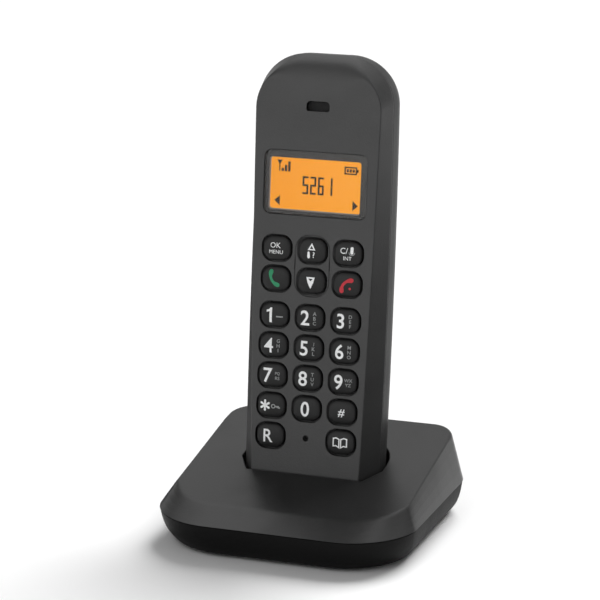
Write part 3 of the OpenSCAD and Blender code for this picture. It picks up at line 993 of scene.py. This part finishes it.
def ribbon(path, widths):
    """Outline of a stroke with round ends: widths at each point of its path."""
    left, right = [], []
    for k, (x, z) in enumerate(path):
        ax, az = path[max(0, k - 1)]
        bx, bz = path[min(len(path) - 1, k + 1)]
        size = math.hypot(bx - ax, bz - az)
        nx, nz = -(bz - az) / size, (bx - ax) / size
        half = widths[k] / 2
        left.append((x + nx * half, z + nz * half))
        right.append((x - nx * half, z - nz * half))

    def cap(k, near):
        x, z = path[k]
        ax, az = path[near]
        turn = math.degrees(math.atan2(z - az, x - ax))
        return arc((x, z), widths[k] / 2, turn - 90, turn + 90, 5)[1:-1]

    return right + cap(-1, -2) + left[::-1] + cap(0, 1)


def receiver(tilt, shift, size=0.76):
    """Telephone receiver: a bent stem with a pad at each end."""
    path = arc((3.45, 0), 4.3, 133, 227, 12)
    half = [1.9, 1.9, 1.7, 1.35, 1.2, 1.15]
    widths = [*half, 1.15, *reversed(half)]
    turn = math.radians(tilt)
    return [(shift + size * (x * math.cos(turn) - z * math.sin(turn)),
             size * (x * math.sin(turn) + z * math.cos(turn))) for x, z in ribbon(path, widths)]


def book():
    """Open book: two pages with a spine."""
    outer = [(0.1, 1.35), (1.3, 1.85), (2.45, 1.55), (2.45, -1.3), (1.3, -1.1), (0.1, -1.8)]
    inner = [(0.5, 1.1), (1.35, 1.42), (2.05, 1.22), (2.05, -0.9), (1.3, -0.68), (0.5, -1.12)]
    return [
        drawn(*([(side * x, z) for x, z in loop] for loop in (outer, inner)))
        for side in (1, -1)]


BOLD = 0.014
DIAL = {
    "2": "ABC", "3": "DEF", "4": "GHI", "5": "JKL", "6": "MNO", "7": ("PQ", "RS"), "8": "TUV",
    "9": ("WX", "YZ")}


def dial_marks(digit, rows):
    """A digit in white and its dial letters in grey, one below the other."""
    bold = 0.002 if digit == "4" else BOLD
    x, tall, side, first, step = (
        (-1.4, 1.15, 1.85, 1.55, 1.55) if len(rows) == 3 else (-1.35, 1.05, 1.95, 0.75, 1.5))
    return (
        [letters(digit, 4.8, x, 0, bold, 0.98)],
        [letters(row, tall, side, first - step * k, 0.01) for k, row in enumerate(rows)])


def key_marks():
    """White shapes and small grey shapes of each key's legend."""
    one = [(-1.45, -2.4), (-0.62, -2.4), (-0.62, 2.4), (-1.2, 2.4), (-1.6, 1.85),
           (-2.5, 1.55), (-2.5, 0.85), (-1.45, 1.15)]
    dash = ribbon([(1.0, -0.4), (2.9, -0.4)], [0.4, 0.4])
    turns = [math.radians(60 * k + 30) for k in range(6)]
    star = [
        drawn(ribbon([(-1.9, 0), (-1.9 + 1.5 * math.cos(a), 1.5 * math.sin(a))], [0.55, 0.75]))
        for a in turns]
    bow = drawn(*(arc((0.95, -0.1), radius, 0, 350, 14) for radius in (0.75, 0.42)))
    stem = drawn([
        (1.65, -0.3), (3.2, -0.3), (3.2, -0.75), (2.85, -0.75), (2.85, 0.1), (1.65, 0.1)])
    up = drawn([(-1.3, 0.3), (1.3, 0.3), (0, 2.6)], [(-0.6, 0.7), (0.6, 0.7), (0, 1.75)])
    drop = drawn(ribbon([(-0.95, -0.5), (-0.95, -1.9)], [0.75, 0.95]))
    down = drawn([(-1.4, 1.5), (1.4, 1.5), (0.95, -0.3), (0, -2.3), (-0.95, -0.3)],
                 [(-0.75, 1.0), (0.75, 1.0), (0, 0.2)])
    voice = drawn(ribbon([(1.5, 1.9), (1.5, 0.5)], [1.0, 1.0]))
    cup = drawn(arc((1.5, 0.6), 1.05, 180, 360, 8) + arc((1.5, 0.6), 0.78, 360, 180, 8))
    marks = {
        "key_1": ([drawn(one)], [drawn(dash)]),
        "key_0": ([letters("0", 4.9, -0.25, 0, BOLD, 0.92)], []),
        "key_hash": ([letters("#", 2.6, 0.1, -0.1, 0.012, 1.0, 0.12)], []),
        "key_star": (star, [bow, stem]),
        "key_recall": ([letters("R", 4.2, -0.5, 0, 0.01, 0.95)], []),
        "key_book": (book(), []),
        "key_menu": ([letters("OK", 1.7, -0.2, 1.0), letters("MENU", 1.2, 0.0, -1.15)], []),
        "key_up": ([up, drop, letters("?", 1.9, 0.75, -1.2, 0.008)], []),
        "key_down": ([down], []),
        "key_mute": (
            [letters("C/", 1.9, -1.1, 1.0, 0.004), voice, letters("INT", 1.2, 0.1, -1.4)],
            [cup])}
    for digit, rows in DIAL.items():
        marks["key_" + digit] = dial_marks(digit, rows)
    return marks


def ink_solid(name, flats, proud=0.035, sunk=0.1):
    """Legend as a thin solid that follows the crowned top of its key."""
    work = bmesh.new()
    for points, faces in flats:
        made = [work.verts.new((x, 0, z)) for x, z in points]
        for face in faces:
            work.faces.new([made[k] for k in face])
    bmesh.ops.triangulate(work, faces=work.faces)
    longest = 0.75
    for _ in range(3):
        long = [e for e in work.edges if e.calc_length() > longest]
        bmesh.ops.subdivide_edges(work, edges=long, cuts=1)
        bmesh.ops.triangulate(work, faces=[f for f in work.faces if len(f.verts) > 3])
    work.verts.index_update()
    depths = [pillow(share_out(v.co.x, v.co.z)) for v in work.verts]
    count = len(depths)
    points = [Vector((v.co.x, d - proud, v.co.z)) for v, d in zip(work.verts, depths)]
    points += [Vector((v.co.x, d + sunk, v.co.z)) for v, d in zip(work.verts, depths)]
    faces = [[v.index for v in f.verts] for f in work.faces]
    faces += [[v.index + count for v in reversed(f.verts)] for f in work.faces]
    for edge in work.edges:
        if len(edge.link_faces) == 1:
            a, b = edge.verts[0].index, edge.verts[1].index
            faces.append([a, b, b + count, a + count])
    work.free()
    return piece(name, points, faces)


class PHONE_OT_keys(bpy.types.Operator):
    """Builds the twenty keys of the handset and their printed legends"""
    bl_idname = "telephone.keys"
    bl_label = "Keys"

    def execute(self, context):
        solid, marks = key_solid(), key_marks()
        symbols = {
            "key_talk": [drawn(receiver(28, -0.6))],
            "key_end": [drawn(receiver(-42, -0.2)), drawn(arc((1.25, -1.15), 0.4, 0, 330, 12))]}
        for body in KEY_BODIES:
            spot = STAND.middle(body)
            matrix = STAND.matrix @ Matrix.Translation((spot.x, 0, spot.z))
            fit_out(piece(body + "_cap", *solid), matrix, body, "key_cap", "key_plastic",
                    [body], 60)
            if body in symbols:
                prints = [("_symbol", symbols[body], body[4:] + "_ink")]
            else:
                bright, small = marks[body]
                prints = [("_legend", bright, "legend_ink"), ("_letters", small, "small_ink")]
            for suffix, shapes, ink in prints:
                if shapes:
                    fit_out(ink_solid(body + suffix, shapes), matrix, body, ink)
        return {"FINISHED"}


# ---- Base ----

SEAM_Z = 10.7
TOP_EDGE_Z = SEAM_Z + 0.08     # lower edge of the top shell
LOWER_EDGE_Z = SEAM_Z - 0.06   # upper edge of the bottom shell
TOP_Z = 20.72        # height of the sloping top at the middle
TOP_SLOPE = 0.2
PAGE_KEY_Z = 18
SOCKETS_X = (-17, 17)
FEET = [(-20, -30), (20, -30), (-31, 30), (31, 30)]
BASE_SCREWS = [(-25, -23), (25, -23), (-32.5, 10), (32.5, 10)]
FRONT_STEPS, CORNER_STEPS, SIDE_STEPS = 4, 22, 14


def base_plan(half, front, back, front_radius, turn, back_radius):
    """Plan of the base, from the middle of the front round the right."""
    lean = half - front_radius * math.cos(math.radians(turn))
    corner_y = front + front_radius - front_radius * math.sin(math.radians(turn))
    back_y = back - back_radius
    right = [(lean * k / FRONT_STEPS, front) for k in range(FRONT_STEPS)]
    right += arc((lean, front + front_radius), front_radius, -90, -turn, CORNER_STEPS)
    right += [
        (half, corner_y + (back_y - corner_y) * k / SIDE_STEPS) for k in range(1, SIDE_STEPS)]
    right += arc((half - back_radius, back_y), back_radius, 0, 90, 14)
    right += [((half - back_radius) * (1 - k / 4), back) for k in range(1, 5)]
    return mirrored(right, 1)


def seam_plan(inset, softer=0):
    """Plan of the base at its seam, moved inwards."""
    half, end = base_size("width") / 2, base_size("depth") / 2
    return base_plan(
        half - inset, inset - end, end - inset, 22 - inset + softer, 8, 12 - inset)


def lower_plan(inset):
    """The same for the bottom shell, whose corners grow rounder downwards."""
    return seam_plan(inset, min(3, 1.4 * (inset - 0.3)))


def top_plan(inset):
    """Plan of the sloping top, moved inwards."""
    half = base_size("width") / 2 - 3.9
    return base_plan(half - inset, inset - 30, 36 - inset, 18.5 - inset, 19, 8 - inset)


def on_top(points, drop):
    """A plan laid on the sloping top less a drop."""
    return [Vector((x, y, TOP_Z - drop + TOP_SLOPE * y)) for x, y in points]


def top_shell_ribs():
    """Top shell: outer skin from the seam to the sloping top, then the inner skin."""
    front, side = base_size("front_crease"), base_size("side_crease")
    seam, lip = (level(seam_plan(inset), TOP_EDGE_Z) for inset in (0, 2))
    edge, flat, under = (on_top(top_plan(i), drop) for i, drop in ((0, 0), (3, 0), (2, 2)))
    crease = FRONT_STEPS + CORNER_STEPS
    ribs = []
    for i in range(len(seam)):
        k = min(i, len(seam) - i)
        turn = max(0, min(1, (k - crease + 4) / 4))
        radius = front + (side - front) * turn if k < crease + SIDE_STEPS else side + 0.6
        steps = [seam[i].lerp(edge[i], t) for t in (0.25, 0.5, 0.75)]
        ribs.append(
            [under[i], lip[i]]
            + eased([seam[i].lerp(lip[i], 0.3), seam[i], *steps, edge[i], flat[i]],
                    [0.3, 0.01, 0.01, 0.01, radius]))
    return ribs


def cradle_section(grow):
    """Section of the cradle well: the handset's outline plus a gap, as (x, depth)."""
    half = handset_size("width") / 2 - 0.1
    curve = 9            # width of the rounded part of the back at each side
    front = (18.9 + grow, -grow)
    side = (half + 0.3 + grow, FACET - 0.5)
    right = [(0, -grow), (9, -grow), front]
    right += [
        (front[0] + (side[0] - front[0]) * t, front[1] + (side[1] - front[1]) * t)
        for t in (0.33, 0.66)]
    right.append(side)
    right += [
        (half - curve + (curve + 0.3 + grow) * math.cos(a),
         SIDE_END + (BODY_DEPTH - SIDE_END + grow) * math.sin(a))
        for a in (math.radians(5 * k) for k in range(19))]
    return mirrored([*right, (0, BODY_DEPTH + grow)], 1)


def under_top(section, drop):
    """A section of the handset, moved along it until it meets the top less a drop."""
    made = []
    for x, depth in section:
        start = STAND.base_point(x, depth, 0)
        rise = (TOP_Z - drop + TOP_SLOPE * start.y - start.z) / (
            STAND.up.z - TOP_SLOPE * STAND.up.y)
        made.append(start + STAND.up * rise)
    return made


def in_handset(section, z):
    """A section of the handset at a height above its foot."""
    return [STAND.base_point(x, depth, z) for x, depth in section]


def well_tool(gap, rim, floor):
    """Tool for the cradle well, with its rim rounded over."""
    rings = [under_top(cradle_section(gap + rim), -3)]
    rings += [
        under_top(cradle_section(gap + out), drop + LIFT * k)
        for k, (out, drop) in enumerate(quarter_round(rim, 5))]
    return stacked([*rings, in_handset(cradle_section(gap), floor)])


def socket_openings(low, high):
    """Tools for the openings at the two sockets."""
    return [box((x - 6.9, 25, low), (x + 6.9, 45, high)) for x in SOCKETS_X]


class PHONE_OT_base_top(bpy.types.Operator):
    """Builds the top shell of the base with the cradle well and the rear openings"""
    bl_idname = "telephone.base_top"
    bl_label = "Base top"

    def execute(self, context):
        shell = piece("base_top_housing", *skin(top_shell_ribs()))
        well = cradle_section(2.3)
        combine(shell, [stacked([under_top(well, 1), in_handset(well, -2.2)])], "UNION")
        combine(shell, [well_tool(0.5, base_size("mouth"), -0.4)])
        slots = [
            stacked([in_handset(bar(x - 1.5, 9, x + 1.5, 16), z) for z in (-4, 2)])
            for x in CONTACTS_X]
        button = shafts([(4.3, 30), (4.3, 45)], [(0, PAGE_KEY_Z)])
        combine(shell, slots + socket_openings(9.7, 20.6) + button)
        fit_out(shell, TO_METRES, "base", "base_housing", "base_plastic", ["base_top_shell"], 28)
        return {"FINISHED"}


# Height and inset of the bottom shell's outside, from its underside upwards.
LOWER_CURVE = [
    (0.5, 6.4), (0.5, 5.5), (0.62, 4.7), (0.95, 4.0), (1.45, 3.4), (2.1, 2.85), (2.9, 2.3),
    (3.9, 1.8), (5.1, 1.35), (6.5, 0.95), (8.2, 0.6), (9.6, 0.4), (10.5, 0.3)]


class PHONE_OT_base_bottom(bpy.types.Operator):
    """Builds the bottom shell, its feet and the page key at the back"""
    bl_idname = "telephone.base_bottom"
    bl_label = "Base bottom"

    def execute(self, context):
        def upright(profile, places):
            return [turned(profile, (x, y, 0), (0, 0, 1)) for x, y in places]

        outside = [*LOWER_CURVE, (LOWER_EDGE_Z, 0.5)]
        inside = [(LOWER_EDGE_Z, 2.2), (6, 2.6), (4.3, 3.2), (2.3, 5.6)]
        shell = piece("base_bottom_housing", *stacked([
            level(lower_plan(inset), z) for z, inset in outside + inside]))
        combine(shell, upright([(4.2, 0.7), (4.2, 4)], BASE_SCREWS), "UNION")
        recesses = upright([(4.3, -1), (4.1, 0.6), (4.1, 1.1)], FEET)
        wells = upright([(2.8, -1), (2.5, 0.7), (2.5, 2.2)], BASE_SCREWS)
        combine(shell, recesses + wells + socket_openings(9.3, 20))
        fit_out(shell, TO_METRES, "base", "lower_housing", "dark_plastic",
                ["base_bottom_shell"], 30)
        pads = piece("base_feet", *joined(upright(
            [(3.1, 0), (3.7, 0.08), (3.95, 0.3), (4, 0.6), (4, 1.09)], FEET)))
        fit_out(pads, TO_METRES, "base", "rubber", "rubber", ["rubber_feet"], 40)
        button = shafts(
            [(5, 33), (5, 34), (4, 34), (4, 38.4), (3.85, 38.9), (3.4, 39.25), (2.4, 39.42),
             (1.2, 39.49), (0.3, 39.5)], [(0, PAGE_KEY_Z)])
        cap = piece("page_key_cap", *joined(button))
        fit_out(cap, TO_METRES, "page_key", "key_cap", "key_plastic", ["page_key"], 50)
        return {"FINISHED"}


# ---- Carried-over pieces ----

NODE_FINISHES = {
    "white_moulding": ["display_backlight"],
    "silicone_mat": ["keypad_mat"],
    "mesh_cloth": ["earpiece_mesh"],
    "circuit": ["handset_board", "base_board"],
    "tin_plate": ["handset_radio_shield", "base_radio_shield"],
    "capsule": ["earpiece", "microphone", "ringer", "page_switch"],
    "cell_sleeve": ["battery_cell_left", "battery_cell_right"],
    "spring_steel": ["battery_springs", "battery_plates", "handset_screws", "base_screws"],
    "gold_contact": [
        "handset_antenna", "base_antenna", "handset_charge_pads", "charge_springs",
        "line_socket_pins", "power_socket_pins"],
    "socket_moulding": ["line_socket", "power_socket"]}


class PHONE_OT_hardware(bpy.types.Operator):
    """Gives the pieces that keep their shape their finishes"""
    bl_idname = "telephone.hardware"
    bl_label = "Inner pieces and hardware"

    def execute(self, context):
        for look, nodes in NODE_FINISHES.items():
            for mesh in (frame["nodes"][name].data for name in nodes):
                for k in range(len(mesh.materials)):
                    mesh.materials[k] = FINISHES[look]
                if not mesh.materials:
                    mesh.materials.append(FINISHES[look])
        return {"FINISHED"}


# ---- Stage ----

CAMERA_TARGET = Vector((-0.002535, -0.0023, 0.07648))
CAMERA_DISTANCE = 0.8344
CAMERA_TURN, CAMERA_HEIGHT = 19.838, 14.557
CAMERA_LENS = 157.4


def towards(turn, height):
    """Direction from the telephone at an angle round it from the front and a height."""
    a, h = math.radians(turn), math.radians(height)
    return Vector((math.sin(a) * math.cos(h), -math.cos(a) * math.cos(h), math.sin(h)))


def aimed(name, data, place, way):
    """A lamp or a camera at a place that looks a way."""
    made = placed(name, data)
    made.location = place
    made.rotation_euler = way.to_track_quat("-Z", "Y").to_euler()
    return made


def lamp(name, kind, place, target, power, **sizes):
    """Soft light that looks at a point; gloss mirrors the room and not the lamp."""
    data = bpy.data.lights.new(name, kind)
    data.energy = power
    for size, value in sizes.items():
        setattr(data, size, value)
    aimed(name, data, place, Vector(target) - Vector(place)).visible_glossy = False


# Parts of the room that are brighter or darker than its walls: angle and height of the
# middle, the angles where the change is full and where it ends, and the change itself.
ROOM = [
    (112, 6, 12, 42, -0.7), (-92, 36, 14, 48, -0.62), (156, 4, 6, 22, 0.5),
    (204, 34, 8, 24, -0.2), (214, 62, 12, 27, 1.3), (115, 54, 6, 22, 0.2),
    (-20, 8, 20, 62, 1.1)]
WALLS = 0.8
MATT_LIGHT = 0.24


def room_light():
    """White room, dimmer at both sides and brighter in front, that gloss mirrors."""
    world = bpy.data.worlds.new("studio")
    world.use_nodes = True
    bpy.context.scene.world = world
    mix = Recipe(world.node_tree)
    way = mix.node("TexCoord")
    amount = WALLS
    for turn, height, near, far, change in ROOM:
        dot = mix.node("VectorMath", {"operation": "DOT_PRODUCT"}, {
            0: way, 1: towards(turn, height)}, 1)
        inside = mix.spread(dot, math.cos(math.radians(far)), math.cos(math.radians(near)))
        amount = inside * change + amount
    lit, plain = (
        mix.node("Background", {}, {"Color": (1, 1, 1, 1), "Strength": strength})
        for strength in (amount, MATT_LIGHT))
    matt = mix.node("LightPath", output=2)
    mix.show(mix.node("MixShader", {}, {0: matt, 1: lit, 2: plain}), "World")


def dark_card(name, first, height, steps=16):
    """Dark card round the telephone that only gloss sees: it keeps a bevel deep."""
    near, far, low = 0.07, 0.34, 0.0004
    points = []
    for k in range(steps + 1):
        a = math.radians(first + 3.4 * k)
        for reach, z in ((near, low), (far, low), (far, height - 0.0016 * k)):
            points.append(Vector((reach * math.sin(a), -reach * math.cos(a), z)))
    faces = [
        (3 * k + r, 3 * k + 3 + r, 3 * k + 4 + r, 3 * k + 1 + r)
        for k in range(steps) for r in range(2)]
    card = piece(name, points, faces)
    card.data.materials.append(FINISHES["card_felt"])
    card.visible_camera = card.visible_diffuse = card.visible_shadow = False


def stage_finishes():
    """Finishes of the pale floor and of the dark cards."""
    paper = finish("studio_paper")
    paper.surface(
        Base_Color=paper.between(
            paper.noise(6, 2), (0.93, 0.93, 0.93, 1), (0.96, 0.96, 0.96, 1)),
        Roughness=0.85, Specular_IOR_Level=0.1)
    felt = finish("card_felt")
    nap = felt.noise(900, 3)
    felt.surface(
        Base_Color=felt.between(nap, (0.01, 0.01, 0.01, 1), (0.03, 0.03, 0.03, 1)),
        Roughness=0.9, Specular_IOR_Level=0.0, Normal=felt.relief(nap, 0.1))


class PHONE_OT_stage(bpy.types.Operator):
    """Lays the pale floor and sets the lights and the camera"""
    bl_idname = "telephone.stage"
    bl_label = "Studio"

    def execute(self, context):
        stage_finishes()
        low = CAD_BOX[0][2] - 0.0002
        ground = piece("studio_floor", level(bar(-6, -6, 6, 6), low), [(0, 1, 2, 3)])
        ground.data.materials.append(FINISHES["studio_paper"])
        dark_card("studio_card_right", 66, 0.085)
        dark_card("studio_card_left", 192, 0.065)
        room_light()
        lamp("key_light", "AREA", (-0.45, -1.0, 1.3), (0, 0, 0.06), 4, size=1.0)
        lamp("top_light", "SUN", (0.5, 1.9, 2.1), (0, 0, 0.03), 3.65, angle=math.radians(40))
        eye = bpy.data.cameras.new("camera")
        eye.lens = CAMERA_LENS
        eye.sensor_width = 36
        eye.clip_end = 30
        away = towards(CAMERA_TURN, CAMERA_HEIGHT)
        scene = context.scene
        scene.camera = aimed("camera", eye, CAMERA_TARGET + away * CAMERA_DISTANCE, -away)
        scene.view_settings.view_transform = "Standard"
        return {"FINISHED"}


# ---- Add-on ----

OPERATORS = [
    PHONE_OT_finishes, PHONE_OT_front_cover, PHONE_OT_rear_cover, PHONE_OT_battery_door,
    PHONE_OT_display, PHONE_OT_keys, PHONE_OT_base_top, PHONE_OT_base_bottom,
    PHONE_OT_hardware, PHONE_OT_stage]
SETTINGS = {
    "telephone_handset": TelephoneHandsetSettings,
    "telephone_base": TelephoneBaseSettings,
    "telephone_finish": TelephoneFinishSettings}


class PHONE_PT_panel(bpy.types.Panel):
    """Lists the telephone's settings and pieces"""
    bl_idname = "PHONE_PT_panel"
    bl_label = "Telephone"
    bl_space_type = "VIEW_3D"
    bl_region_type = "UI"
    bl_category = "Telephone"

    def draw(self, context):
        for name, group in SETTINGS.items():
            frame_box = self.layout.box()
            for prop in group.__annotations__:
                frame_box.prop(getattr(context.scene, name), prop)
        for operator in OPERATORS:
            self.layout.operator(operator.bl_idname)


def register():
    for group in [*SETTINGS.values(), *OPERATORS, PHONE_PT_panel]:
        bpy.utils.register_class(group)
    for name, group in SETTINGS.items():
        setattr(bpy.types.Scene, name, bpy.props.PointerProperty(type=group))


def unregister():
    for name in SETTINGS:
        delattr(bpy.types.Scene, name)
    for group in reversed([*SETTINGS.values(), *OPERATORS, PHONE_PT_panel]):
        bpy.utils.unregister_class(group)


def main():
    register()
    for operator in OPERATORS:
        family, action = operator.bl_idname.split(".")
        getattr(getattr(bpy.ops, family), action)()


if __name__ == "__main__":
    main()
